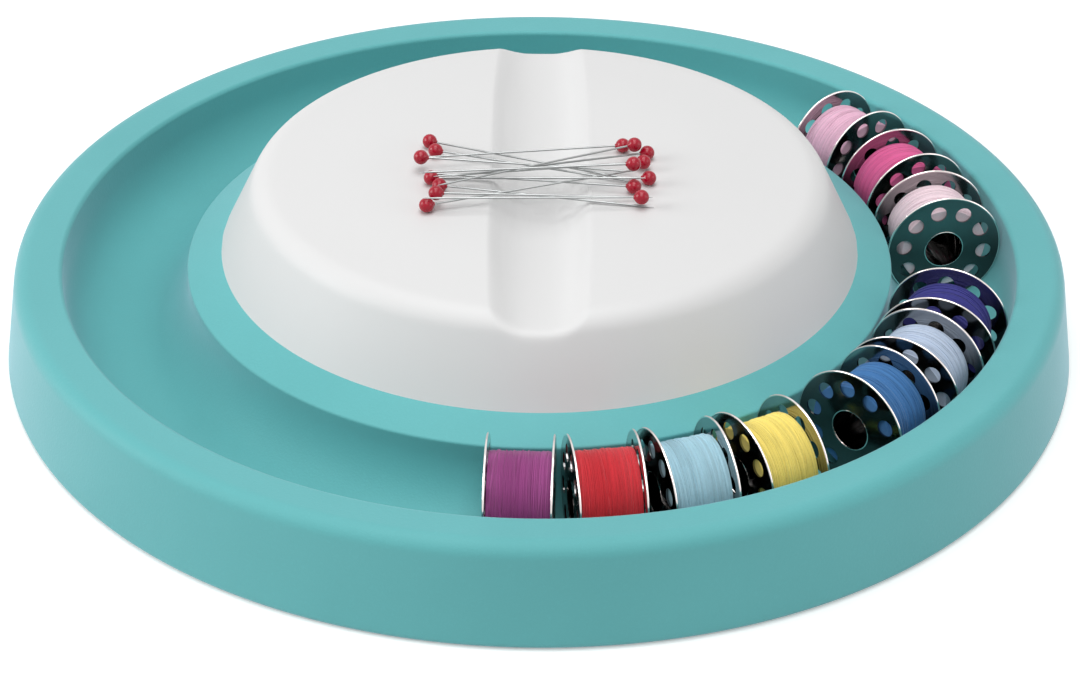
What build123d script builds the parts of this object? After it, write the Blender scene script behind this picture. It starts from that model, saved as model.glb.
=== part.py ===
from build123d import *
import math
import os

# Magnetic pin bowl: a soft round tray whose deep channel holds sewing machine bobbins, with a white
# dome in the middle that holds pins by two magnets hidden under its top.
# Millimetres, +Z up. The origin is on the table under the middle. The dome's groove runs along Y.

# Soft tray
tray_radius = 92.0  # at the table
rim_radius = 89.2  # outer face, at the height of the rim
rim_height = 16.9
rim_fall = 0.6  # how far the rim's top falls from its outer edge to the channel
rim_edge_radius = 2.6
foot_edge = 0.6
channel_mid_radius = 70.95  # from the middle of the bowl to the middle of the channel
channel_lip_radius = 0.8
channel_floor = 1.3  # rubber left under the channel
inner_wall = 1.8  # rubber between the channel and the pan
shelf_height = 13.9  # inner lip of the channel
shelf_lip = 0.4
seat_height = 16.4  # top of the inner flange, which the dome stands on
flange_thickness = 3.0
flange_width = 5.7  # how far the inner flange reaches in under the dome

# White dome
dome_radius = 54.6  # at its foot
dome_shoulder_radius = 48.2  # where the side would meet the flat top
dome_height = 31.0
dome_edge_radius = 6.0
dome_inside_edge = 3.0  # the hollow's corner is flat instead of round
dome_wall = 2.4
groove_width = 15.5
groove_depth = 3.5
groove_lip_radius = 0.8

# Magnets and the steel plate that closes them
magnet_width = 12.0
magnet_length = 30.0
magnet_thickness = 6.0
magnet_gap = 0.3  # play in the pocket
pocket_rib = 1.2
pocket_depth = 4.0
keeper_length = 60.0
keeper_width = 26.0
keeper_thickness = 1.5
keeper_corner = 2.0
keeper_boss_radius = 3.0
keeper_boss_pitch = 52.0
keeper_screw_radius = 0.95
keeper_screw_length = 5.5
keeper_head_radius = 2.2
keeper_head_height = 1.3

# Pan that closes the underside and clamps the tray's flange
pan_recess = 0.8  # from the table up to the pan
pan_floor = 2.0
pan_wall = 2.0
pan_ledge_width = 4.5
pan_ledge_thickness = 2.0
pan_gap = 0.3  # play between the pan and the rubber
tower_circle_radius = 42.0
tower_count = 3
tower_radius = 4.2
boss_radius = 3.5
base_screw_radius = 1.2
base_screw_bite = 8.0  # length in the dome's boss
base_screw_head_radius = 2.6
base_screw_head_height = 1.8
head_seat = 2.2  # plastic under the screw's head
screw_gap = 0.05  # play round a screw in its pilot hole
screw_pass_gap = 0.4  # play round a screw in a through hole
pilot_spare = 1.0  # pilot hole beyond the screw's end

# Bobbins
spool_radius = 10.15
spool_width = 10.6
spool_flange = 0.45
spool_bore = 3.3
spool_tube = 0.4
spool_hole_radius = 1.4
spool_hole_circle = 7.2
spool_holes = 10
winding_radius = 7.7
channel_gap = 0.25  # play between a bobbin and the rubber
bobbin_lift_gap = 0.05  # a bobbin stands this far off the channel's floor
# Each bobbin's place round the channel and the turn of its holes, in degrees
bobbins = (
    (35.2, 4.0),
    (21.1, 17.0),
    (7.9, 0.0),
    (-19.7, 11.0),
    (-31.2, 26.0),
    (-42.5, 9.0),
    (-60.6, 30.0),
    (-71.6, 6.0),
    (-81.9, 21.0),
    (-92.2, 13.0),
)

# Pins
pin_length = 37.0
pin_head_radius = 1.3
pin_shaft_radius = 0.275
pin_point_length = 2.2
pin_tip_radius = 0.08
pin_socket_depth = 1.3  # how deep the shaft goes into the head
pin_gap = 0.08  # between pins that lie on each other
# Each pin's head, left (-1) or right (1) of the groove, then its place as shares of the pin's length
# and its heading in degrees off straight across, from the pin laid first to the one laid last
pin_places_shares = (
    (-1, -0.48, 0.03, -15.0),
    (1, 0.49, -0.22, 2.0),
    (-1, -0.51, 0.12, -18.0),
    (-1, -0.45, -0.30, -8.0),
    (1, 0.42, -0.30, 8.0),
    (1, 0.38, 0.09, -10.0),
    (-1, -0.50, -0.48, 18.0),
    (-1, -0.54, -0.11, -1.0),
    (-1, -0.49, -0.23, -5.0),
    (1, 0.47, -0.08, -11.0),
    (1, 0.49, 0.02, -21.0),
    (-1, -0.46, -0.43, 4.0),
    (1, 0.45, -0.43, -4.0),
    (1, 0.43, 0.01, -24.0),
    (1, 0.42, -0.20, -7.0),
)
pin_balance_share = 0.4  # from the head to the point where the pin balances
pin_steps = 100  # places along a pin where it is kept off the pins under it

overrun = 1.0  # cuts run this far past the face that they open

# Small round details have a few flat sides, which keeps the many of them light.
rod_sides = 12
spool_sides = 24
tube_sides = 10
hole_sides = 6
pin_head_sides = 8
pin_shaft_sides = 6

# Sizes that follow from the ones above
channel_radius = spool_radius + channel_gap
channel_centre_z = channel_floor + channel_radius
channel_inner = channel_mid_radius - channel_radius
channel_outer = channel_mid_radius + channel_radius
cavity_radius = channel_inner - inner_wall
flange_inner_radius = dome_radius - flange_width
flange_under_z = seat_height - flange_thickness
dome_inside_z = dome_height - dome_wall
groove_half = groove_width / 2
groove_radius = (groove_half**2 + groove_depth**2) / (2 * groove_depth)
groove_axis_z = dome_height - groove_depth + groove_radius
magnet_top_half = math.sqrt((groove_radius + dome_wall) ** 2 - (groove_axis_z - dome_inside_z) ** 2)
magnet_x = magnet_top_half + 2 * magnet_gap + magnet_width / 2
magnet_under_z = dome_inside_z - magnet_thickness
keeper_under_z = magnet_under_z - keeper_thickness
pan_radius = cavity_radius - pan_gap
pan_top_z = flange_under_z
screw_seat_z = pan_top_z - head_seat
spool_centre_radius = math.sqrt(channel_mid_radius**2 - ((spool_width - spool_flange) / 2) ** 2)
spool_centre_z = channel_floor + bobbin_lift_gap + spool_radius
pin_reach = pin_length - pin_head_radius


def profile(corners):
    """A flat outline through its corners, drawn as radius and height."""
    return make_face(Polyline(*corners, close=True))


def corner_of(outline, point):
    """The outline's corner that lies nearest to a point."""
    return outline.vertices().sort_by_distance((point[0], point[1], 0))[0]


def turn(outline):
    """Turn an outline of radius and height round the bowl's axis."""
    return revolve(Plane.XZ * outline, Axis.Z)


def rod(radius, low, high, x=0):
    """An upright round bar or hole between two heights."""
    return Pos(x, 0, low) * extrude(RegularPolygon(radius, rod_sides), high - low)


def tower_places():
    """Where the screw towers of the pan and the bosses of the dome stand."""
    return PolarLocations(tower_circle_radius, tower_count, start_angle=90)


def make_bobbin_tray():
    """Soft ring with its rim, deep bobbin channel, sloping shelf and inner flange."""
    rim_inside = (channel_outer, rim_height - rim_fall)
    shelf = (channel_inner, shelf_height)
    outline = profile(
        (
            (cavity_radius, 0),
            (tray_radius, 0),
            (rim_radius, rim_height),
            rim_inside,
            shelf,
            (dome_radius, seat_height),
            (flange_inner_radius, seat_height),
            (flange_inner_radius, flange_under_z),
            (cavity_radius, flange_under_z),
        )
    )
    outline -= Pos(channel_mid_radius, channel_centre_z) * Circle(channel_radius)
    outline -= Pos(channel_mid_radius, channel_centre_z + rim_height / 2) * Rectangle(
        2 * channel_radius, rim_height
    )
    outline = chamfer(corner_of(outline, (tray_radius, 0)), foot_edge)
    outline = fillet(corner_of(outline, (rim_radius, rim_height)), rim_edge_radius)
    outline = fillet(corner_of(outline, rim_inside), channel_lip_radius)
    outline = chamfer(corner_of(outline, shelf), shelf_lip)
    return turn(outline)


def dome_outside():
    """The dome's outer form before its groove."""
    shoulder = (dome_shoulder_radius, dome_height)
    outline = profile(((0, seat_height), (dome_radius, seat_height), shoulder, (0, dome_height)))
    return turn(fillet(corner_of(outline, shoulder), dome_edge_radius))


def dome_inside():
    """The hollow under the dome."""
    shoulder = (dome_shoulder_radius - dome_wall, dome_inside_z)
    foot_radius = dome_radius - dome_wall
    outline = profile(((0, seat_height), (foot_radius, seat_height), shoulder, (0, dome_inside_z)))
    return turn(chamfer(corner_of(outline, shoulder), dome_inside_edge))


def groove_bar(radius):
    """A long bar along the groove's axis."""
    return Pos(0, 0, groove_axis_z) * Rot(90, 0, 0) * Cylinder(radius, 2 * dome_radius + 2 * overrun)


def dome_bosses(outer):
    """Screw bosses and magnet pockets under the dome's top, trimmed to its outer form."""
    bosses = Part() + tower_places() * rod(boss_radius, pan_top_z, dome_height)
    bosses += [rod(keeper_boss_radius, magnet_under_z, dome_height, x) for x in keeper_boss_xs()]
    for side in (-1, 1):
        pocket = Rectangle(
            magnet_width + 2 * (magnet_gap + pocket_rib), magnet_length + 2 * (magnet_gap + pocket_rib)
        ) - Rectangle(magnet_width + 2 * magnet_gap, magnet_length + 2 * magnet_gap)
        low = dome_inside_z - pocket_depth
        bosses += Pos(side * magnet_x, 0, low) * extrude(pocket, pocket_depth + dome_wall / 2)
    return bosses & outer


def keeper_boss_xs():
    """The keeper plate's two screws, one past each magnet."""
    return (-keeper_boss_pitch / 2, keeper_boss_pitch / 2)


def make_pin_dome():
    """White shell with a round groove across its top, seen from below as a rib between the magnets."""
    outer = dome_outside()
    hollow = dome_inside() - groove_bar(groove_radius + dome_wall)
    shell = outer - hollow + dome_bosses(outer)
    shell -= groove_bar(groove_radius)
    crest = shell.edges().filter_by(Axis.Y)
    crest = crest.filter_by_position(Axis.Z, dome_height - pin_gap, dome_height + pin_gap)
    shell = fillet(crest, groove_lip_radius)
    pilot_top = pan_top_z + base_screw_bite + pilot_spare
    shell -= tower_places() * rod(base_screw_radius + screw_gap, pan_top_z, pilot_top)
    keeper_pilot = keeper_under_z + keeper_screw_length + pilot_spare
    for x in keeper_boss_xs():
        shell -= rod(keeper_screw_radius + screw_gap, magnet_under_z, keeper_pilot, x)
    return shell


def make_base_pan():
    """Round pan whose ledge clamps the tray's flange, with a hollow tower for each screw."""
    ledge_inside = pan_radius - pan_ledge_width
    wall_inside = pan_radius - pan_wall
    floor_top = pan_recess + pan_floor
    pan = turn(
        profile(
            (
                (0, pan_recess),
                (pan_radius, pan_recess),
                (pan_radius, pan_top_z),
                (ledge_inside, pan_top_z),
                (ledge_inside, pan_top_z - pan_ledge_thickness),
                (wall_inside, pan_top_z - pan_ledge_thickness),
                (wall_inside, floor_top),
                (0, floor_top),
            )
        )
    )
    pan += tower_places() * rod(tower_radius, pan_recess + pan_floor / 2, pan_top_z)
    pan -= tower_places() * rod(base_screw_head_radius + screw_pass_gap, pan_recess, screw_seat_z)
    pan -= tower_places() * rod(base_screw_radius + screw_pass_gap, pan_recess, pan_top_z)
    return pan


def make_screw(shank_radius, head_radius, head_height, seat_z, top_z):
    """A screw that goes up from its head's seat."""
    return rod(head_radius, seat_z - head_height, seat_z) + rod(shank_radius, seat_z, top_z)


def make_base_screws():
    """The three screws that hold pan, flange and dome together."""
    screw = make_screw(
        base_screw_radius,
        base_screw_head_radius,
        base_screw_head_height,
        screw_seat_z,
        pan_top_z + base_screw_bite,
    )
    return Compound(children=[place * screw for place in tower_places()])


def make_magnet(side):
    """A flat bar magnet, up against the inside of the dome's top."""
    bar = Box(magnet_width, magnet_length, magnet_thickness)
    return Pos(side * magnet_x, 0, (dome_inside_z + magnet_under_z) / 2) * bar


def make_keeper_plate():
    """Steel plate under both magnets, which carries their field across and holds them up."""
    plate = fillet(Rectangle(keeper_length, keeper_width).vertices(), keeper_corner)
    for x in keeper_boss_xs():
        plate -= Pos(x, 0) * RegularPolygon(keeper_screw_radius + screw_pass_gap, rod_sides)
    return Pos(0, 0, keeper_under_z) * extrude(plate, keeper_thickness)


def make_keeper_screws():
    """The two screws of the keeper plate."""
    screw = make_screw(
        keeper_screw_radius,
        keeper_head_radius,
        keeper_head_height,
        keeper_under_z,
        keeper_under_z + keeper_screw_length,
    )
    return Compound(children=[Pos(x, 0, 0) * screw for x in keeper_boss_xs()])


def at_bobbin(azimuth, shape):
    """Put a shape that lies round the X axis in its place in the channel, along the ring."""
    across = Rot(0, 0, azimuth) * Pos(spool_centre_radius, 0, spool_centre_z) * Rot(0, 0, 90)
    return across * shape


def ring_between(outer, inner, low, high):
    """A flat sided ring round the X axis between two places along it."""
    return Plane.YZ.offset(low) * extrude(outer - inner, high - low)


def make_spool(hole_turn):
    """Steel bobbin: a tube with a pierced flange at each end."""
    bore = RegularPolygon(spool_bore, tube_sides)
    disc = RegularPolygon(spool_radius, spool_sides)
    hole = RegularPolygon(spool_hole_radius, hole_sides)
    disc -= PolarLocations(spool_hole_circle, spool_holes, start_angle=hole_turn) * hole
    half = spool_width / 2
    spool = ring_between(RegularPolygon(spool_bore + spool_tube, tube_sides), bore, -half, half)
    spool += ring_between(disc, bore, -half, spool_flange - half)
    spool += ring_between(disc, bore, half - spool_flange, half)
    return spool


def make_winding():
    """Thread wound on the bobbin's tube, from flange to flange."""
    half = spool_width / 2 - spool_flange
    tube = RegularPolygon(spool_bore + spool_tube, tube_sides)
    return ring_between(RegularPolygon(winding_radius, spool_sides), tube, -half, half)


def pin_lines():
    """Each pin's head centre and its direction across the dome, seen from above."""
    lines = []
    for side, x_share, y_share, heading in pin_places_shares:
        angle = math.radians(heading)
        lines.append(
            (x_share * pin_length, y_share * pin_length, -side * math.cos(angle), math.sin(angle))
        )
    return lines


def along(line, x, y):
    """How far along a pin a point lies, kept between its head and its tip, and how far off it."""
    head_x, head_y, step_x, step_y = line
    run = min(max((x - head_x) * step_x + (y - head_y) * step_y, 0), pin_reach)
    return run, math.hypot(head_x + step_x * run - x, head_y + step_y * run - y)


def supports(line, laid):
    """Heights that a pin may not go below, each with how far along the pin it counts."""
    found = [(0, pin_head_radius), (pin_reach, pin_shaft_radius)]
    for step in range(pin_steps + 1):
        run = pin_reach * step / pin_steps
        own_radius = pin_shaft_radius if step else pin_head_radius
        x = line[0] + line[2] * run
        y = line[1] + line[3] * run
        for other, head_z, tip_z in laid:
            other_run, off = along(other, x, y)
            shaft_z = head_z + (tip_z - head_z) * other_run / pin_reach
            head_off = math.hypot(other[0] - x, other[1] - y)
            for radius, apart, height in (
                (pin_shaft_radius, off, shaft_z),
                (pin_head_radius, head_off, head_z),
            ):
                near = own_radius + radius + pin_gap
                if apart < near:
                    found.append((run, height + math.sqrt(near**2 - apart**2)))
    return found


def rest(found):
    """Head and tip height of a pin that lies on the two supports that carry its balance point."""
    balance = pin_reach * pin_balance_share
    carried = []
    for first in found:
        for second in found:
            if first[0] < balance <= second[0]:
                slope = (second[1] - first[1]) / (second[0] - first[0])
                head_z = first[1] - slope * first[0]
                carried.append((head_z + slope * balance, head_z, head_z + slope * pin_reach))
    return max(carried)[1:]


def lay_pins():
    """Lay the pins down one by one, each on the dome's top or on the pins under it."""
    laid = []
    for line in pin_lines():
        head_z, tip_z = rest(supports(line, laid))
        laid.append((line, head_z, tip_z))
    return laid


def pin_frame(line, head_z, tip_z):
    """A plane at the head's centre whose normal runs along the shaft."""
    head = Vector(line[0], line[1], dome_height + head_z)
    tip = Vector(line[0] + line[2] * pin_reach, line[1] + line[3] * pin_reach, dome_height + tip_z)
    return Plane(origin=head, z_dir=tip - head)


def make_pin_shaft():
    """Steel wire along +Z with a sharp point, its blunt end in the middle of the head."""
    start = pin_head_radius - pin_socket_depth
    wire_end = pin_reach - pin_point_length
    wire = RegularPolygon(pin_shaft_radius, pin_shaft_sides)
    shaft = Pos(0, 0, start) * extrude(wire, wire_end - start)
    tip = Pos(0, 0, pin_reach) * RegularPolygon(pin_tip_radius, pin_shaft_sides)
    return shaft + loft([Pos(0, 0, wire_end) * wire, tip], ruled=True)


def make_pin_head(shaft):
    """Glass ball, with an even eight sided outline from pole to pole."""
    low = pin_head_radius * math.sin(math.pi / 8)
    high = pin_head_radius * math.cos(math.pi / 8)
    equator = RegularPolygon(high, pin_head_sides)
    cap = Pos(0, 0, low) * extrude(equator, high - low, taper=45)
    return Pos(0, 0, -low) * extrude(equator, 2 * low) + cap + mirror(cap, Plane.XY) - shaft


def make_pins():
    """Every pin's head and shaft in its resting place."""
    shaft = make_pin_shaft()
    head = make_pin_head(shaft)
    pieces = {}
    for number, (line, head_z, tip_z) in enumerate(lay_pins(), start=1):
        frame = pin_frame(line, head_z, tip_z)
        pieces[f"pin_{number:02d}_head"] = frame.location * head
        pieces[f"pin_{number:02d}_shaft"] = frame.location * shaft
    return pieces


def make_bobbins():
    """Every bobbin's spool and thread in its place in the channel."""
    winding = make_winding()
    pieces = {}
    for number, (azimuth, hole_turn) in enumerate(bobbins, start=1):
        pieces[f"bobbin_{number:02d}_spool"] = at_bobbin(azimuth, make_spool(hole_turn))
        pieces[f"bobbin_{number:02d}_thread"] = at_bobbin(azimuth, winding)
    return pieces


def make_all():
    """Every piece by its name."""
    pieces = {
        "bobbin_tray": make_bobbin_tray(),
        "pin_dome": make_pin_dome(),
        "base_pan": make_base_pan(),
        "base_screws": make_base_screws(),
        "magnet_left": make_magnet(-1),
        "magnet_right": make_magnet(1),
        "keeper_plate": make_keeper_plate(),
        "keeper_screws": make_keeper_screws(),
    }
    pieces.update(make_bobbins())
    pieces.update(make_pins())
    return pieces


os.makedirs("parts", exist_ok=True)
for name, piece in make_all().items():
    export_step(piece, f"parts/{name}.step")
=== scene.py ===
"""Magnetic pin bowl: a soft teal tray full of bobbins round a white dome with pins across its groove."""

import logging
import math
from dataclasses import dataclass, field
from enum import Enum
from typing import Any, Iterable, Sequence

import bmesh
import bpy
import numpy as np
from mathutils import Matrix, Vector


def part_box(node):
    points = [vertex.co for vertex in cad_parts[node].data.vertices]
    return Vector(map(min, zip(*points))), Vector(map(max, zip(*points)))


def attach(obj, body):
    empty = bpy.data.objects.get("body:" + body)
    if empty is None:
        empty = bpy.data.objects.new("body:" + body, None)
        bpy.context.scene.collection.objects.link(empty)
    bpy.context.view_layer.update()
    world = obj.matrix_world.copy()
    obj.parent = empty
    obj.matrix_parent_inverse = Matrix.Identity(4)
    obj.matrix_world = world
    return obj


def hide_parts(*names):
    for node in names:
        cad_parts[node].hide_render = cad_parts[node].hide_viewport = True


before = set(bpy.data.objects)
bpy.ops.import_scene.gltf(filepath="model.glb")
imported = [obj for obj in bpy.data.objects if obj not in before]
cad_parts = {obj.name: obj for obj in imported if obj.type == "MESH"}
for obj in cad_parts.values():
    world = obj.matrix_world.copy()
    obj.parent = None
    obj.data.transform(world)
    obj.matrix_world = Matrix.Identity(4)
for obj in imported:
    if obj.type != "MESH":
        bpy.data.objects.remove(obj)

LOG = logging.getLogger("pin_bowl")
MM = 0.001
POLE = 1e-6  # a profile point this near the axis becomes one pole vertex, in millimetres
LONG_RUN = 4  # a straight run longer than this many margins gets a point near each end
SHARP = 40.0  # edges sharper than this stay sharp unless a piece says otherwise, in degrees
Point = tuple[float, float]
Place = tuple[float, float, float]
Colour = tuple[float, float, float]
Mesh = tuple[list[Sequence[float]], list[list[int]]]  # vertices in millimetres, and faces
BLACK: Colour = (0.0, 0.0, 0.0)
WHITE: Colour = (1.0, 1.0, 1.0)


def srgb(red: int, green: int, blue: int) -> Colour:
    """A screen colour of 0 to 255 as the linear colour that shaders use.

    Args:
        red: Red, from 0 to 255.
        green: Green, from 0 to 255.
        blue: Blue, from 0 to 255.

    Returns:
        The linear colour.
    """
    shares = (red / 255, green / 255, blue / 255)
    linear = [s / 12.92 if s <= 0.04045 else ((s + 0.055) / 1.055) ** 2.4 for s in shares]
    return linear[0], linear[1], linear[2]


def scaled(colour: Colour, share: float) -> Colour:
    """A colour made lighter or darker by a share."""
    return colour[0] * share, colour[1] * share, colour[2] * share


# ---------------------------------------------------------------- node trees


class Value:
    """A number that flows through a node tree, with Python's operators for its maths."""

    def __init__(self, graph: "Graph", socket: bpy.types.NodeSocket) -> None:
        """Keep the socket and the graph that new maths nodes go into."""
        self.graph = graph
        self.socket = socket

    def _maths(self, operation: str, *terms: Any) -> "Value":
        """Add one Math node and return what comes out of it."""
        return self.graph.value("ShaderNodeMath", {"operation": operation}, dict(enumerate(terms)))

    def __add__(self, other: Any) -> "Value":
        """self + other."""
        return self._maths("ADD", self, other)

    def __radd__(self, other: Any) -> "Value":
        """other + self."""
        return self._maths("ADD", other, self)

    def __sub__(self, other: Any) -> "Value":
        """self - other."""
        return self._maths("SUBTRACT", self, other)

    def __rsub__(self, other: Any) -> "Value":
        """other - self."""
        return self._maths("SUBTRACT", other, self)

    def __mul__(self, other: Any) -> "Value":
        """self * other."""
        return self._maths("MULTIPLY", self, other)

    def __rmul__(self, other: Any) -> "Value":
        """other * self."""
        return self._maths("MULTIPLY", other, self)

    def __truediv__(self, other: Any) -> "Value":
        """self / other."""
        return self._maths("DIVIDE", self, other)

    def __rtruediv__(self, other: Any) -> "Value":
        """other / self."""
        return self._maths("DIVIDE", other, self)

    def largest(self, other: Any) -> "Value":
        """The larger of two values."""
        return self._maths("MAXIMUM", self, other)

    def between(self, low: float, high: float) -> "Value":
        """A smooth step.

        Args:
            low: Up to here it is 0.
            high: From here on it is 1.

        Returns:
            The stepped value.
        """
        settings = {"interpolation_type": "SMOOTHSTEP"}
        inputs = {"Value": self, "From Min": low, "From Max": high}
        return self.graph.value("ShaderNodeMapRange", settings, inputs)


class Graph:
    """Adds nodes to a shader or geometry tree."""

    def __init__(self, tree: bpy.types.NodeTree) -> None:
        """Work in a tree, which loses the nodes it came with."""
        self.tree = tree
        tree.nodes.clear()

    def node(
        self,
        kind: str,
        settings: dict[str, Any] | None = None,
        inputs: dict[str | int, Any] | None = None,
    ) -> bpy.types.Node:
        """Add one node.

        Args:
            kind: The node's type.
            settings: Properties of the node, set before its sockets.
            inputs: A number, colour, Value or list of Values for each socket, by name or place.

        Returns:
            The node.
        """
        node = self.tree.nodes.new(kind)
        for name, setting in (settings or {}).items():
            setattr(node, name, setting)
        for key, given in (inputs or {}).items():
            for one in given if isinstance(given, list) else [given]:
                if isinstance(one, Value):
                    self.tree.links.new(one.socket, node.inputs[key])
                else:
                    node.inputs[key].default_value = one
        return node

    def value(
        self,
        kind: str,
        settings: dict[str, Any] | None = None,
        inputs: dict[str | int, Any] | None = None,
        output: str | int = 0,
    ) -> Value:
        """Add one node and return one of its outputs."""
        return Value(self, self.node(kind, settings, inputs).outputs[output])


class Surface(Graph):
    """A material's shader tree with the few patterns that the finishes share."""

    def __init__(self, name: str) -> None:
        """Make an empty material.

        Args:
            name: The material's name.
        """
        self.material = bpy.data.materials.new(name)
        self.material.use_nodes = True
        super().__init__(self.material.node_tree)
        self.place = self.value("ShaderNodeTexCoord", output="Object")

    def noise(self, size: float, detail: float = 2.0, stretch: Sequence[float] | None = None) -> Value:
        """A noise from 0 to 1.

        Args:
            size: Width of its patches in millimetres.
            detail: How many finer layers it has.
            stretch: How much longer the patches are along X, Y and Z.

        Returns:
            The noise.
        """
        place = self.place
        if stretch is not None:
            shares = tuple(1 / s for s in stretch)
            place = self.value("ShaderNodeVectorMath", {"operation": "MULTIPLY"}, {0: place, 1: shares})
        inputs = {"Vector": place, "Scale": 1 / (size * MM), "Detail": detail}
        return self.value("ShaderNodeTexNoise", None, inputs)

    def mix(self, share: Any, first: Colour | Value, second: Colour | Value) -> Value:
        """Blend two colours.

        Args:
            share: How much of the second there is, from 0 to 1.
            first: One colour.
            second: The other colour.

        Returns:
            The blend.
        """
        colours = [c if isinstance(c, Value) else (*c, 1.0) for c in (first, second)]
        inputs: dict[str | int, Any] = {0: share, 6: colours[0], 7: colours[1]}
        return self.value("ShaderNodeMix", {"data_type": "RGBA"}, inputs, 2)

    def bump(self, height: Value, depth: float, normal: Value | None = None) -> Value:
        """Turn a height into a bumped normal.

        Args:
            height: The height, from 0 to 1.
            depth: How deep it is in millimetres.
            normal: A bumped normal that it is added to.

        Returns:
            The normal.
        """
        inputs: dict[str | int, Any] = {"Height": height, "Distance": depth * MM, "Strength": 1.0}
        if normal is not None:
            inputs["Normal"] = normal
        return self.value("ShaderNodeBump", None, inputs)

    def finish(self, inputs: dict[str | int, Any]) -> bpy.types.Material:
        """End the tree in one Principled shader.

        Args:
            inputs: What goes into its sockets, by name.

        Returns:
            The material.
        """
        given = {name: (*v, 1.0) if isinstance(v, tuple) else v for name, v in inputs.items()}
        shader = self.value("ShaderNodeBsdfPrincipled", None, given)
        self.node("ShaderNodeOutputMaterial", None, {"Surface": shader})
        return self.material


# ---------------------------------------------------------------- finishes


@dataclass(frozen=True)
class Silicone:
    """Soft matte rubber with a fine grain, faint dusty patches and a pale bloom at low angles.

    Widths and depths are in millimetres. Shades are shares of the colour.
    """

    colour: Colour
    roughness: float = 0.52
    gloss: float = 0.3
    bloom: float = 0.52
    bloom_roughness: float = 0.45
    bloom_tint: Colour = (0.72, 0.86, 1.0)
    patch: float = 26.0
    patch_range: Point = (0.35, 0.7)
    patch_share: float = 0.5
    patch_shade: float = 0.94
    patch_roughness: float = 0.06
    grain: float = 0.45
    grain_range: Point = (0.5, 0.75)
    grain_share: float = 0.22
    grain_shade: float = 1.12
    grain_roughness: float = 0.08
    grain_depth: float = 0.035
    fine_share: float = 0.4  # width and height of the finer grain, as shares of the grain's

    def material(self) -> bpy.types.Material:
        """The tray's material.

        Returns:
            The material.
        """
        s = Surface("teal_silicone")
        patches = s.noise(self.patch, 3).between(*self.patch_range)
        grain = s.noise(self.grain, 3)
        tone = s.mix(patches * self.patch_share, self.colour, scaled(self.colour, self.patch_shade))
        lit = grain.between(*self.grain_range) * self.grain_share
        tone = s.mix(lit, tone, scaled(self.colour, self.grain_shade))
        fine = s.noise(self.grain * self.fine_share, 2)
        normal = s.bump(grain + fine * self.fine_share, self.grain_depth)
        return s.finish(
            {
                "Base Color": tone,
                "Roughness": self.roughness + patches * self.patch_roughness + grain * self.grain_roughness,
                "Normal": normal,
                "Specular IOR Level": self.gloss,
                "Sheen Weight": self.bloom,
                "Sheen Roughness": self.bloom_roughness,
                "Sheen Tint": self.bloom_tint,
            }
        )


@dataclass(frozen=True)
class MouldedPlastic:
    """Hard plastic with the faint waviness and dust of a moulded part.

    Widths and depths are in millimetres. Shades are shares of the colour.
    """

    name: str
    colour: Colour
    roughness: float
    coat: float = 0.0
    coat_roughness: float = 0.3
    wave: float = 9.0
    wave_depth: float = 0.01
    wave_roughness: float = 0.04
    grain: float = 0.3
    grain_depth: float = 0.004
    grain_roughness: float = 0.06
    dust: float = 40.0
    dust_share: float = 0.25
    dust_shade: float = 0.97

    def material(self) -> bpy.types.Material:
        """One moulded plastic.

        Returns:
            The material.
        """
        s = Surface(self.name)
        wave = s.noise(self.wave, 2)
        grain = s.noise(self.grain, 2)
        dust = s.noise(self.dust, 2) * self.dust_share
        normal = s.bump(grain, self.grain_depth, s.bump(wave, self.wave_depth))
        return s.finish(
            {
                "Base Color": s.mix(dust, self.colour, scaled(self.colour, self.dust_shade)),
                "Roughness": self.roughness + grain * self.grain_roughness + wave * self.wave_roughness,
                "Normal": normal,
                "Coat Weight": self.coat,
                "Coat Roughness": self.coat_roughness,
            }
        )


@dataclass(frozen=True)
class BareMetal:
    """Plated or bare metal with fine rub marks, slightly dull spots and optional painted highlight and shade.

    Widths, heights and depths are in millimetres.
    """

    POLISH = "polish"
    name: str
    colour: Colour
    roughness: float
    marks: float = 0.1  # how much duller the spots are
    spot: float = 3.5
    spot_range: Point = (0.45, 0.75)
    spot_share: float = 0.1
    rub: float = 0.12
    rub_stretch: Place = (9.0, 1.0, 1.0)
    rub_share: float = 0.5  # how dull the rub marks are, as a share of the spots
    rub_depth: float = 0.002
    painted_highlight: Colour | None = None  # painted highlight: a lighter colour where the polish attribute is 1
    painted_bore_shade: float = 0.02  # painted shade: share of that colour where the polish attribute is -1
    painted_bore_shade_range: Point = (0.2, 0.8)
    low: Colour | None = None  # painted shade: colour low down, where the channel shades the piece
    painted_shade_heights: Point = (10.0, 19.5)  # between these the painted shade gives way

    def material(self) -> bpy.types.Material:
        """One metal.

        Returns:
            The material.
        """
        s = Surface(self.name)
        spots = s.noise(self.spot, 3).between(*self.spot_range)
        rub = s.noise(self.rub, 2, self.rub_stretch)
        tone: Colour | Value = self.colour
        # painted shade: the colour darkens low down, where the channel shades the piece
        if self.low is not None:
            height = s.value("ShaderNodeSeparateXYZ", None, {0: s.place}, "Z") / MM
            tone = s.mix(height.between(*self.painted_shade_heights), self.low, self.colour)
        tone = s.mix(spots * self.spot_share, tone, BLACK)
        # painted highlight where the mark is 1, painted shade where it is -1
        if self.painted_highlight is not None:
            polish = s.value("ShaderNodeAttribute", {"attribute_name": self.POLISH}, output="Fac")
            tone = s.mix(polish, tone, self.painted_highlight)
            bore_shaded = (polish * -1).between(*self.painted_bore_shade_range)
            tone = s.mix(bore_shaded, tone, scaled(self.painted_highlight, self.painted_bore_shade))
        rough = self.roughness + spots * self.marks + rub * self.marks * self.rub_share
        normal = s.bump(rub, self.rub_depth)
        return s.finish({"Base Color": tone, "Metallic": 1.0, "Roughness": rough, "Normal": normal})


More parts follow.
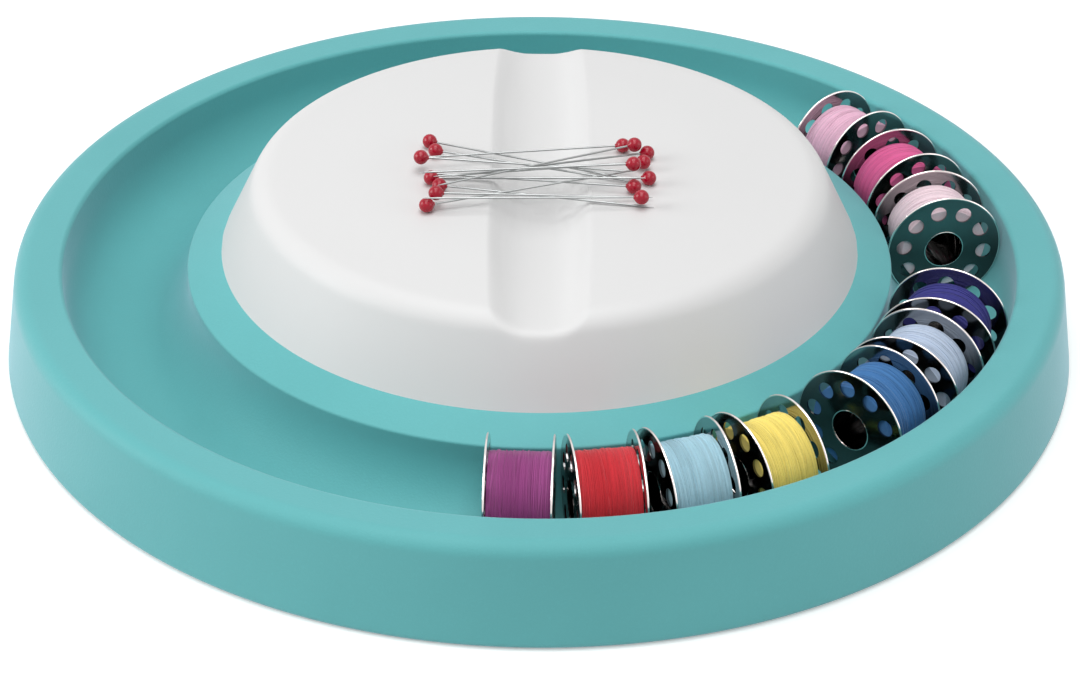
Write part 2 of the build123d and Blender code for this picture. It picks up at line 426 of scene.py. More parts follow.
@dataclass(frozen=True)
class GlossyBall:
    """Glass-like ball with a deep colour under a hard clear skin.

    Widths and depths are in millimetres. Shades are shares of the colour.
    """

    colour: Colour
    roughness: float = 0.22
    gloss: float = 0.25
    skin: float = 0.3
    skin_roughness: float = 0.08
    swirl: float = 1.1
    swirl_range: Point = (0.35, 0.75)
    swirl_share: float = 0.5
    swirl_shade: float = 0.72
    swirl_roughness: float = 0.06
    dent: float = 0.9
    dent_depth: float = 0.01

    def material(self) -> bpy.types.Material:
        """The pin heads' material.

        Returns:
            The material.
        """
        s = Surface("pin_head_red")
        swirl = s.noise(self.swirl, 3)
        deep = swirl.between(*self.swirl_range) * self.swirl_share
        tone = s.mix(deep, self.colour, scaled(self.colour, self.swirl_shade))
        normal = s.bump(s.noise(self.dent, 1), self.dent_depth)
        return s.finish(
            {
                "Base Color": tone,
                "Roughness": self.roughness + swirl * self.swirl_roughness,
                "Normal": normal,
                "Specular IOR Level": self.gloss,
                "Coat Weight": self.skin,
                "Coat Roughness": self.skin_roughness,
            }
        )


@dataclass(frozen=True)
class SewingThread:
    """Spun thread: each turn a little lighter or darker, with fibres across it.

    Widths and depths are in millimetres. Shades are shares of the colour.
    """

    name: str
    colour: Colour
    roughness: float = 0.72
    gloss: float = 0.3
    fuzz: float = 0.25
    fuzz_roughness: float = 0.4
    turn_scale: float = 0.9
    turn_range: Point = (0.3, 0.7)
    turn_shades: Point = (0.87, 1.08)
    fibre: float = 0.16
    fibre_range: Point = (0.4, 0.8)
    fibre_share: float = 0.35
    fibre_shade: float = 1.3
    fibre_roughness: float = 0.15
    fibre_depth: float = 0.03
    smudge: float = 1.6
    smudge_range: Point = (0.5, 0.8)
    smudge_share: float = 0.2
    smudge_shade: float = 0.78

    def material(self) -> bpy.types.Material:
        """One colour of thread.

        Returns:
            The material.
        """
        s = Surface("thread_" + self.name)
        turn = s.value("ShaderNodeAttribute", {"attribute_name": Winding.TURN}, output="Fac")
        inputs = {"W": turn, "Scale": self.turn_scale, "Detail": 2.0}
        strand = s.value("ShaderNodeTexNoise", {"noise_dimensions": "1D"}, inputs).between(*self.turn_range)
        dark, light = (scaled(self.colour, shade) for shade in self.turn_shades)
        tone = s.mix(strand, dark, light)
        fibre = s.noise(self.fibre, 3)
        lit = fibre.between(*self.fibre_range) * self.fibre_share
        tone = s.mix(lit, tone, scaled(self.colour, self.fibre_shade))
        smudges = s.noise(self.smudge, 2).between(*self.smudge_range) * self.smudge_share
        tone = s.mix(smudges, tone, scaled(self.colour, self.smudge_shade))
        return s.finish(
            {
                "Base Color": tone,
                "Roughness": self.roughness + fibre * self.fibre_roughness,
                "Normal": s.bump(fibre, self.fibre_depth),
                "Specular IOR Level": self.gloss,
                "Sheen Weight": self.fuzz,
                "Sheen Roughness": self.fuzz_roughness,
            }
        )


# ---------------------------------------------------------------- meshes


def rounded(corners: Sequence[Point], radii: Sequence[float], steps: int) -> list[Point]:
    """Round the corners of an open outline.

    Args:
        corners: Its corners, as radius and height.
        radii: A radius for each corner; 0 leaves it sharp.
        steps: How many runs each round has.

    Returns:
        The outline with its rounds.
    """
    points: list[Point] = []
    for place, (corner, radius) in enumerate(zip(corners, radii)):
        here = Vector(corner)
        if radius <= 0 or place in (0, len(corners) - 1):
            points.append((here.x, here.y))
            continue
        back = (Vector(corners[place - 1]) - here).normalized()
        on = (Vector(corners[place + 1]) - here).normalized()
        half = back.angle(on) / 2
        run = radius / math.tan(half)
        centre = here + (back + on).normalized() * (radius / math.sin(half))
        start = here + back * run - centre
        end = here + on * run - centre
        sweep = start.angle_signed(end)
        for step in range(steps + 1):
            turned_point = Matrix.Rotation(-sweep * step / steps, 2) @ start + centre
            points.append((turned_point.x, turned_point.y))
    return points


def supported(points: Sequence[Point], margin: float) -> list[Point]:
    """Add a point inside each end of every long straight run, so that it shades flat.

    Args:
        points: The outline.
        margin: How far from the end the point lies.

    Returns:
        The outline with the points added.
    """
    out: list[Point] = []
    for first, second in zip(points, points[1:]):
        out.append(first)
        start, end = Vector(first), Vector(second)
        length = (end - start).length
        if length > LONG_RUN * margin:
            step = (end - start) / length * margin
            out.extend([tuple(start + step), tuple(end - step)])
    out.append(points[-1])
    return out


def arc(centre: Point, radius: float, start: float, end: float, steps: int) -> list[Point]:
    """Points on an arc.

    Args:
        centre: Its centre.
        radius: Its radius.
        start: Where it starts, in degrees from the first axis.
        end: Where it ends, in degrees.
        steps: How many runs it has.

    Returns:
        The points.
    """
    turns = [math.radians(start + (end - start) * step / steps) for step in range(steps + 1)]
    return [(centre[0] + radius * math.cos(t), centre[1] + radius * math.sin(t)) for t in turns]


def mesh_object(
    name: str,
    vertices: Iterable[Sequence[float]],
    faces: Iterable[Sequence[int]],
    material: bpy.types.Material,
    sharp: float = SHARP,
) -> bpy.types.Object:
    """Make a smooth shaded mesh object from vertices in millimetres.

    Args:
        name: The object's name.
        vertices: Corner points in millimetres.
        faces: Corner numbers of each face.
        material: Its material.
        sharp: Edges sharper than this stay sharp, in degrees.

    Returns:
        The object, with its faces pointing out.
    """
    mesh = bpy.data.meshes.new(name)
    mesh.from_pydata([tuple(c * MM for c in v) for v in vertices], [], [tuple(f) for f in faces])
    tidy = bmesh.new()
    tidy.from_mesh(mesh)
    bmesh.ops.remove_doubles(tidy, verts=tidy.verts, dist=POLE * MM)
    bmesh.ops.recalc_face_normals(tidy, faces=tidy.faces)
    tidy.to_mesh(mesh)
    tidy.free()
    return dressed(name, mesh, material, sharp)


def dressed(
    name: str, mesh: bpy.types.Mesh, material: bpy.types.Material, sharp: float = SHARP
) -> bpy.types.Object:
    """Put a mesh in the scene as a smooth shaded object of one material.

    Args:
        name: The object's name.
        mesh: The mesh, in metres.
        material: Its material.
        sharp: Edges sharper than this stay sharp, in degrees.

    Returns:
        The object.
    """
    mesh.materials.clear()
    mesh.materials.append(material)
    mesh.shade_smooth()
    mesh.set_sharp_from_angle(angle=math.radians(sharp))
    piece = bpy.data.objects.new(name, mesh)
    bpy.context.scene.collection.objects.link(piece)
    return piece


def turned(profile: Sequence[Point], sides: int, closed: bool = True) -> Mesh:
    """Turn an outline of radius and height round the Z axis.

    Args:
        profile: The outline in millimetres; a point on the axis becomes a pole.
        sides: How many sides the turned form has.
        closed: Whether the outline's last point joins its first.

    Returns:
        Vertices in millimetres and faces.
    """
    vertices: list[Sequence[float]] = []
    rings: list[list[int]] = []
    for radius, height in profile:
        start = len(vertices)
        if radius < POLE:
            vertices.append((0.0, 0.0, height))
            rings.append([start] * sides)
            continue
        for side in range(sides):
            angle = 2 * math.pi * side / sides
            vertices.append((radius * math.cos(angle), radius * math.sin(angle), height))
        rings.append(list(range(start, start + sides)))
    pairs = list(zip(rings, rings[1:])) + ([(rings[-1], rings[0])] if closed else [])
    faces: list[list[int]] = []
    for low, high in pairs:
        for side in range(sides):
            after = (side + 1) % sides
            corners = list(dict.fromkeys([low[side], low[after], high[after], high[side]]))
            if len(corners) > 2:
                faces.append(corners)
    return vertices, faces


def joined(parts: Iterable[Mesh]) -> Mesh:
    """Put several vertex and face lists into one.

    Args:
        parts: The vertices and faces of each part.

    Returns:
        Vertices and faces of them all.
    """
    vertices: list[Sequence[float]] = []
    faces: list[list[int]] = []
    for some_vertices, some_faces in parts:
        start = len(vertices)
        vertices.extend(some_vertices)
        faces.extend([corner + start for corner in face] for face in some_faces)
    return vertices, faces


def centre_of(node: str) -> Vector:
    """The middle of a node's box, in metres."""
    low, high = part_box(node)
    return (low + high) / 2


def show_on(piece: bpy.types.Object, body: str, slot: str, *nodes: str) -> None:
    """Let a piece ride on a body in place of some nodes.

    Args:
        piece: The piece.
        body: The body that carries it.
        slot: Not used.
        *nodes: The CAD nodes that it stands for.
    """
    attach(piece, body)
    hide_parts(*nodes)
    LOG.info("%s rides on %s, %d faces", piece.name, body, len(piece.data.polygons))


class PieceTree(Graph):
    """A Geometry Nodes tree with named inputs that ends in a plain mesh."""

    def __init__(self, name: str, inputs: dict[str, float]) -> None:
        """Make the tree and its inputs.

        Args:
            name: The tree's name.
            inputs: Each input's name and usual value, in metres, radians or a count.
        """
        tree = bpy.data.node_groups.new(name, "GeometryNodeTree")
        for label, usual in inputs.items():
            kind = "NodeSocketInt" if isinstance(usual, int) else "NodeSocketFloat"
            tree.interface.new_socket(label, in_out="INPUT", socket_type=kind).default_value = usual
        tree.interface.new_socket("Finish", in_out="INPUT", socket_type="NodeSocketMaterial")
        tree.interface.new_socket("Geometry", in_out="OUTPUT", socket_type="NodeSocketGeometry")
        super().__init__(tree)
        self.group = self.node("NodeGroupInput")

    def given(self, label: str) -> Value:
        """One of the tree's inputs."""
        return Value(self, self.group.outputs[label])

    def circle(self, radius: Any, points: int) -> Value:
        """A closed curve circle round Z."""
        inputs = {"Radius": radius, "Resolution": points}
        return self.value("GeometryNodeCurvePrimitiveCircle", {"mode": "RADIUS"}, inputs)

    def oblong(self, width: Value, height: Value) -> Value:
        """A closed curve rectangle round the origin."""
        inputs = {"Width": width, "Height": height}
        return self.value("GeometryNodeCurvePrimitiveQuadrilateral", {"mode": "RECTANGLE"}, inputs)

    def lifted(self, geometry: Value, rise: Value) -> Value:
        """A geometry moved along Z."""
        offset = self.value("ShaderNodeCombineXYZ", None, {2: rise})
        return self.value("GeometryNodeTransform", None, {"Geometry": geometry, "Translation": offset})

    def tube(self, path: Value, profile: Value) -> Value:
        """A profile carried along a path."""
        return self.value("GeometryNodeCurveToMesh", None, {0: path, 1: profile, "Fill Caps": True})

    def together(self, pieces: list[Value]) -> Value:
        """Several geometries as one."""
        return self.value("GeometryNodeJoinGeometry", None, {0: pieces})

    def marked(self, geometry: Value, name: str, mark: Any) -> Value:
        """A geometry whose points carry a named number.

        Args:
            geometry: The geometry.
            name: The number's name.
            mark: The number.

        Returns:
            The marked geometry.
        """
        settings = {"data_type": "FLOAT", "domain": "POINT"}
        inputs = {"Geometry": geometry, "Name": name, "Value": mark}
        return self.value("GeometryNodeStoreNamedAttribute", settings, inputs)

    def close(self, geometry: Value) -> None:
        """End the tree: real geometry, in the finish that was given.

        Args:
            geometry: What the tree has made.
        """
        real = self.value("GeometryNodeRealizeInstances", None, {0: geometry})
        inputs = {"Geometry": real, "Material": self.given("Finish")}
        finished = self.value("GeometryNodeSetMaterial", None, inputs)
        self.node("NodeGroupOutput", None, {0: finished})

    def mesh(self, name: str, material: bpy.types.Material, **values: float) -> bpy.types.Mesh:
        """Run the tree once.

        Args:
            name: The new mesh's name.
            material: Its finish.
            **values: Inputs that differ from their usual values, by name with underscores.

        Returns:
            A plain mesh, placed where the tree puts it.
        """
        carrier = bpy.data.objects.new(name, bpy.data.meshes.new(name))
        bpy.context.scene.collection.objects.link(carrier)
        modifier = carrier.modifiers.new(name, "NODES")
        modifier.node_group = self.tree
        sockets = {s.name: s.identifier for s in self.tree.interface.items_tree if s.in_out == "INPUT"}
        modifier[sockets["Finish"]] = material
        for label, given in values.items():
            modifier[sockets[label.replace("_", " ")]] = given
        bpy.context.view_layer.update()
        depsgraph = bpy.context.evaluated_depsgraph_get()
        result = bpy.data.meshes.new_from_object(carrier.evaluated_get(depsgraph), depsgraph=depsgraph)
        carrier.modifiers.remove(modifier)
        bpy.data.objects.remove(carrier)
        result.name = name
        return result


# ---------------------------------------------------------------- the bowl


@dataclass
class Tray:
    """The soft ring with its deep channel. Sizes in millimetres."""

    foot_radius: float = 92.0
    rim_radius: float = 89.2
    rim_height: float = 16.9
    rim_fall: float = 0.6  # how much lower the rim is at the channel
    rim_edge: float = 2.6
    foot_edge: float = 0.9
    channel_middle: float = 70.95
    channel_radius: float = 10.4
    channel_floor: float = 1.3
    lip_edge: float = 0.8
    shelf_height: float = 13.9
    shelf_edge: float = 0.45
    seat_height: float = 16.4
    seat_radius: float = 54.6
    flange_inner: float = 48.9
    flange_under: float = 13.4
    cavity_radius: float = 58.75
    margin: float = 0.25  # from a straight run's end to the point that keeps it flat
    foot_margin: float = 0.01
    sides: int = 288
    edge_steps: int = 10
    channel_steps: int = 48
    shelf_steps: int = 6
    sharp: float = 32.0
    finish: Silicone = Silicone(srgb(96, 176, 178))

    def profile(self) -> list[Point]:
        """The ring's whole outline.

        Returns:
            Its points, from the foot's inner edge out, over the rim, through the channel and back.
        """
        inner = self.channel_middle - self.channel_radius
        outer = self.channel_middle + self.channel_radius
        centre_z = self.channel_floor + self.channel_radius
        outside = rounded(
            [
                (self.cavity_radius, 0),
                (self.foot_radius, 0),
                (self.rim_radius, self.rim_height),
                (outer, self.rim_height - self.rim_fall),
                (outer, centre_z),
            ],
            [0, self.foot_edge, self.rim_edge, self.lip_edge, 0],
            self.edge_steps,
        )
        bowl = arc((self.channel_middle, centre_z), self.channel_radius, 0, -180, self.channel_steps)
        inside = rounded(
            [
                (inner, centre_z),
                (inner, self.shelf_height),
                (self.seat_radius, self.seat_height),
                (self.flange_inner, self.seat_height),
                (self.flange_inner, self.flange_under),
                (self.cavity_radius, self.flange_under),
                (self.cavity_radius, self.foot_margin),
            ],
            [0, self.shelf_edge, 0, 0, 0, 0, 0],
            self.shelf_steps,
        )
        return supported(outside + bowl[1:-1] + inside, self.margin)

    def build(self) -> None:
        """Make the ring in place of its CAD node."""
        vertices, faces = turned(self.profile(), self.sides)
        ring = mesh_object("tray_ring", vertices, faces, self.finish.material(), self.sharp)
        show_on(ring, "bowl", "tray_silicone", "bobbin_tray")


@dataclass
class Dome:
    """The white shell with its groove. Sizes in millimetres."""

    foot_radius: float = 54.6
    foot_height: float = 16.4
    crease_radius: float = 48.0  # where the straight side meets the top
    crease_height: float = 29.8
    crease_inset: float = 0.7  # how far the inner crease is drawn in, as a share of the wall
    edge_radius: float = 4.8
    crown_start: float = 29.0  # the top is flat up to about here and falls a little to the crease
    crown_radius: float = 150.0
    top_height: float = 31.0
    wall: float = 2.4
    groove_width: float = 15.5
    groove_depth: float = 3.5
    groove_inset: float = 0.9  # how much wider the groove is inside, as a share of the wall
    groove_power: float = 3.0  # 2 is a plain trough; more gives a flatter floor and steeper walls
    lip_blend: float = 1.3  # how widely the groove's lips are eased
    end_blend: float = 1.6
    boss_circle: float = 42.0
    boss_angles: tuple[float, ...] = (90, 210, 330)
    boss_radius: float = 3.5
    boss_foot: float = 16.4
    pilot_radius: float = 1.25
    pilot_top: float = 22.4
    keeper_boss_x: float = 26.0
    keeper_boss_radius: float = 3.0
    keeper_boss_foot: float = 22.6
    keeper_pilot_radius: float = 1.0
    keeper_pilot_top: float = 27.6
    boss_sides: int = 24
    edge_steps: int = 40
    lines_across: int = 214
    points_along: int = 190
    samples_across: int = 4000  # fine steps over which the lines and points are shared out
    samples_along: int = 900
    least_step: float = 0.001
    steepest: float = 7.0  # the most that a slope draws the lines together
    lip_weight: float = 5.0  # how much the groove's lips draw them together, and how widely
    lip_spread: float = 1.1
    floor_weight: float = 2.0
    last_line: float = 0.9998  # where the last line lies, as a share of the foot's radius
    sharp: float = 50.0
    finish: MouldedPlastic = MouldedPlastic("dome_white", srgb(219, 219, 219), 0.48, coat=0.05)

    def outline(self, inset: float) -> np.ndarray:
        """The turned outline from the middle of the top to the foot.

        Args:
            inset: 0 for the outer face, the wall for the inner one.

        Returns:
            Its points, as radius and height.
        """
        corners = [
            (0.0, self.top_height - inset),
            (self.crown_start, self.top_height - inset),
            (self.crease_radius - inset * self.crease_inset, self.crease_height - inset),
            (self.foot_radius - inset, self.foot_height),
        ]
        radii = [0, self.crown_radius, self.edge_radius - inset, 0]
        return np.array(rounded(corners, radii, self.edge_steps))

    def height(self, x: np.ndarray, y: np.ndarray, inset: float) -> np.ndarray:
        """Height of the shell's face over the plan, with the groove blended in.

        Args:
            x: Places across the groove.
            y: Places along the groove.
            inset: 0 for the outer face, the wall for the inner one.

        Returns:
            The heights.
        """
        outline = self.outline(inset)
        reach = np.hypot(x, y)
        dome = np.interp(reach, outline[:, 0], outline[:, 1])
        across = np.abs(x) / (self.groove_width / 2 + inset * self.groove_inset)
        floor = self.top_height - self.groove_depth - inset
        groove = floor + self.groove_depth * across**self.groove_power
        ends = (self.crease_radius - self.groove_width, self.crease_radius)
        blend = np.interp(reach, ends, (self.lip_blend, self.end_blend))
        close = np.maximum(blend - np.abs(dome - groove), 0)
        return np.minimum(dome, groove) - close**2 / (4 * blend)

    def lines(self, inset: float) -> np.ndarray:
        """Where the grid's lines lie across the groove.

        Args:
            inset: 0 for the outer face, the wall for the inner one.

        Returns:
            Their places, close together at the groove's lips and on the dome's sides.
        """
        outline = self.outline(inset)
        runs = np.hypot(*np.diff(outline, axis=0).T)
        steps = np.maximum(np.diff(outline[:, 0]), self.least_step)
        radius = np.linspace(0, self.foot_radius - inset, self.samples_across)
        slope = np.clip(np.interp(radius, outline[1:, 0], runs / steps), 1, self.steepest)
        lip = self.groove_width / 2
        weight = slope + self.lip_weight * np.exp(-(((radius - lip) / self.lip_spread) ** 2))
        weight += self.floor_weight * (radius < lip)
        spans = (weight[1:] + weight[:-1]) / 2 * np.diff(radius)
        total = np.concatenate([[0], np.cumsum(spans)])
        half = np.interp(np.linspace(0, total[-1], self.lines_across // 2 + 1), total, radius)
        half[-1] *= self.last_line
        return np.concatenate([-half[:0:-1], half])

    def face(self, inset: float) -> tuple[np.ndarray, int, int]:
        """A grid of points over one face of the shell.

        Args:
            inset: 0 for the outer face, the wall for the inner one.

        Returns:
            The points, and how many lines and points along each line there are.
        """
        lines = self.lines(inset)
        foot = self.foot_radius - inset
        points = []
        for x in lines:
            reach = math.sqrt(foot**2 - x**2)
            fine = reach * np.sin(np.linspace(-math.pi / 2, math.pi / 2, self.samples_along))
            heights = self.height(np.full_like(fine, x), fine, inset)
            run = np.concatenate([[0], np.cumsum(np.hypot(np.diff(fine), np.diff(heights)))])
            y = np.interp(np.linspace(0, run[-1], self.points_along), run, fine)
            z = self.height(np.full_like(y, x), y, inset)
            z[0] = z[-1] = self.foot_height
            points.append(np.stack([np.full_like(y, x), y, z], axis=1))
        return np.concatenate(points), len(lines), self.points_along

    @staticmethod
    def border(lines: int, along: int) -> list[int]:
        """The grid's outer points.

        Args:
            lines: How many lines the grid has.
            along: How many points each line has.

        Returns:
            Their numbers in order round the grid.
        """
        bottom = [line * along for line in range(lines)]
        right = [(lines - 1) * along + step for step in range(1, along)]
        top = [line * along + along - 1 for line in range(lines - 2, -1, -1)]
        left = list(range(along - 2, 0, -1))
        return bottom + right + top + left

    def shell(self) -> Mesh:
        """The shell's outer face, inner face and foot.

        Returns:
            Vertices in millimetres and faces.
        """
        outer, lines, along = self.face(0)
        inner, _, _ = self.face(self.wall)
        faces: list[list[int]] = []
        shift = len(outer)
        for line in range(lines - 1):
            for step in range(along - 1):
                corner = line * along + step
                quad = [corner, corner + along, corner + along + 1, corner + 1]
                faces.append(quad)
                faces.append([c + shift for c in reversed(quad)])
        ring = self.border(lines, along)
        for here, after in zip(ring, ring[1:] + ring[:1]):
            faces.append([after, here, here + shift, after + shift])
        return [tuple(p) for p in np.concatenate([outer, inner])], faces

    def bosses(self) -> list[Mesh]:
        """The three screw bosses and two keeper bosses under the top.

        Returns:
            Vertices in millimetres and faces of each.
        """
        made = []
        for angle in self.boss_angles:
            x = self.boss_circle * math.cos(math.radians(angle))
            y = self.boss_circle * math.sin(math.radians(angle))
            sizes = (self.boss_radius, self.pilot_radius, self.boss_foot, self.pilot_top)
            made.append(self._boss((x, y), *sizes))
        for x in (-self.keeper_boss_x, self.keeper_boss_x):
            sizes = (self.keeper_boss_radius, self.keeper_pilot_radius)
            heights = (self.keeper_boss_foot, self.keeper_pilot_top)
            made.append(self._boss((x, 0.0), *sizes, *heights))
        return made

    def _boss(self, place: Point, radius: float, pilot: float, foot: float, pilot_top: float) -> Mesh:
        """One boss, from its foot up into the wall over it.

        Args:
            place: Where it stands in plan.
            radius: Its radius.
            pilot: Radius of its pilot hole.
            foot: Height of its foot.
            pilot_top: Height of the pilot hole's end.

        Returns:
            Vertices in millimetres and faces.
        """
        x, y = place
        top = float(self.height(np.array(x), np.array(y), 0)) - self.wall / 2
        outline = [(pilot, foot), (radius, foot), (radius, top), (0, top), (0, pilot_top), (pilot, pilot_top)]
        vertices, faces = turned(outline, self.boss_sides)
        return [(vx + x, vy + y, vz) for vx, vy, vz in vertices], faces

    def build(self) -> None:
        """Make the shell in place of its CAD node."""
        vertices, faces = joined([self.shell(), *self.bosses()])
        shell = mesh_object("dome_shell", vertices, faces, self.finish.material(), self.sharp)
        show_on(shell, "bowl", "dome_white", "pin_dome")


@dataclass
class Underside:
    """The hidden CAD pieces that keep their shape and get their finish."""

    pan: MouldedPlastic = MouldedPlastic("pan_white", srgb(222, 222, 220), 0.5)
    screws: BareMetal = BareMetal("zinc_screw", (0.55, 0.55, 0.56), 0.3)
    keeper: BareMetal = BareMetal("zinc_sheet", (0.5, 0.51, 0.52), 0.36, marks=0.15)
    magnets: BareMetal = BareMetal("magnet_nickel", (0.6, 0.59, 0.56), 0.2)

    def build(self) -> None:
        """Dress the CAD nodes."""
        pan = self.pan.material()
        screws = self.screws.material()
        magnets = self.magnets.material()
        finishes = {
            "base_pan": pan,
            "base_screws": screws,
            "keeper_screws": screws,
            "keeper_plate": self.keeper.material(),
            "magnet_left": magnets,
            "magnet_right": magnets,
        }
        for node, material in finishes.items():
            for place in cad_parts[node].material_slots:
                place.material = material
            LOG.info("%s keeps its CAD shape", node)


# ---------------------------------------------------------------- bobbins


class ThreadColour(Enum):
    """The ten threads, by bobbin, from the back right round to the front."""

    LIGHT_PINK = (1, srgb(232, 188, 210))
    HOT_PINK = (2, srgb(220, 102, 156))
    PALE_PINK = (3, srgb(236, 214, 222))
    NAVY = (4, srgb(55, 55, 128))
    GREY_BLUE = (5, srgb(184, 198, 218))
    ROYAL_BLUE = (6, srgb(64, 116, 170))
    YELLOW = (7, srgb(242, 222, 120))
    SKY_BLUE = (8, srgb(168, 206, 220))
    RED = (9, srgb(206, 48, 58))
    PURPLE = (10, srgb(152, 70, 132))


@dataclass
class Spool:
    """A metal bobbin: two pierced flanges with rolled edges on a tube. Sizes in millimetres."""

    radius: float = 10.15
    width: float = 10.4
    sheet: float = 0.3
    bead: float = 0.19  # radius of the rolled outer edge
    bore: float = 3.3
    tube_wall: float = 0.4
    hole_radius: float = 1.4
    hole_circle: float = 7.2
    holes: int = 10
    lip_out: float = 0.5  # the bore's rolled lip: its place, rise and radius as shares of the bead
    lip_rise: float = 0.3
    lip_radius: float = 0.65
    weld: float = 0.001  # points closer than this become one
    edge_points: int = 96
    bore_points: int = 40
    hole_points: int = 20
    bead_points: int = 10
    lip_points: int = 8
    finish: BareMetal = BareMetal(
        "bobbin_nickel",
        (0.34, 0.34, 0.34),
        0.09,
        marks=0.08,
        rub=0.1,
        rub_depth=0.0008,
        # painted highlight on the rolled edges and lips, painted shade in the bore
        painted_highlight=(0.86, 0.8, 0.78),
        # painted shade low down, where the channel shades the bobbin
        low=(0.1, 0.1, 0.1),
    )

    def tree(self) -> PieceTree:
        """The Geometry Nodes tree of a bobbin.

        Returns:
            The tree, which makes a bobbin along Z with its holes turned as asked.
        """
        t = PieceTree(
            "bobbin",
            {
                "Radius": self.radius * MM,
                "Width": self.width * MM,
                "Sheet": self.sheet * MM,
                "Bead": self.bead * MM,
                "Bore": self.bore * MM,
                "Tube Wall": self.tube_wall * MM,
                "Hole Radius": self.hole_radius * MM,
                "Hole Circle": self.hole_circle * MM,
                "Holes": self.holes,
                "Hole Turn": 0.0,
            },
        )
        bead = t.given("Bead")
        rim_line = t.circle(t.given("Radius") - bead, self.edge_points)
        disc = self._flange(t, rim_line)
        rim = t.tube(rim_line, t.circle(bead, self.bead_points))
        lip_line = t.circle(t.given("Bore") + bead * self.lip_out, self.bore_points)
        lip = t.tube(lip_line, t.circle(bead * self.lip_radius, self.lip_points))
        half = t.given("Width") * 0.5 - bead
        rise = half + bead * self.lip_rise
        flanges = [t.lifted(disc, half * -1.0), t.lifted(disc, half)]
        edges = [t.lifted(rim, half * -1.0), t.lifted(rim, half)]
        edges += [t.lifted(lip, rise * -1.0), t.lifted(lip, rise)]
        wall = t.oblong(t.given("Tube Wall"), half * 2.0)
        tube_line = t.circle(t.given("Bore") + t.given("Tube Wall") * 0.5, self.bore_points)
        # the mark gives the tube painted shade and the rolled edges a painted highlight
        barrel = t.marked(t.tube(tube_line, wall), BareMetal.POLISH, -1.0)
        bright = t.marked(t.together(edges), BareMetal.POLISH, 1.0)
        t.close(t.together([*flanges, barrel, bright]))
        return t

    def _flange(self, t: PieceTree, rim_line: Value) -> Value:
        """One flange: a flat sheet with its bore and its ring of holes.

        Args:
            t: The tree.
            rim_line: The flange's outer line.

        Returns:
            The sheet, lying in the XY plane.
        """
        inputs = {"Vertices": t.given("Holes"), "Radius": t.given("Hole Circle")}
        spots = t.value("GeometryNodeMeshCircle", None, inputs)
        turn = t.value("ShaderNodeCombineXYZ", None, {2: t.given("Hole Turn")})
        spots = t.value("GeometryNodeTransform", None, {"Geometry": spots, "Rotation": turn})
        hole = t.circle(t.given("Hole Radius"), self.hole_points)
        holes = t.value("GeometryNodeInstanceOnPoints", None, {"Points": spots, "Instance": hole})
        holes = t.value("GeometryNodeRealizeInstances", None, {0: holes})
        outlines = t.together([rim_line, t.circle(t.given("Bore"), self.bore_points), holes])
        plate = t.value("GeometryNodeFillCurve", {"mode": "TRIANGLES"}, {0: outlines})
        inputs = {"Mesh": plate, "Offset Scale": t.given("Sheet"), "Individual": False}
        thick = t.value("GeometryNodeExtrudeMesh", {"mode": "FACES"}, inputs)
        under = t.value("GeometryNodeFlipFaces", None, {0: plate})
        inputs = {0: t.together([thick, under]), "Distance": self.weld * MM}
        disc = t.value("GeometryNodeMergeByDistance", None, inputs)
        return t.lifted(disc, t.given("Sheet") * -0.5)


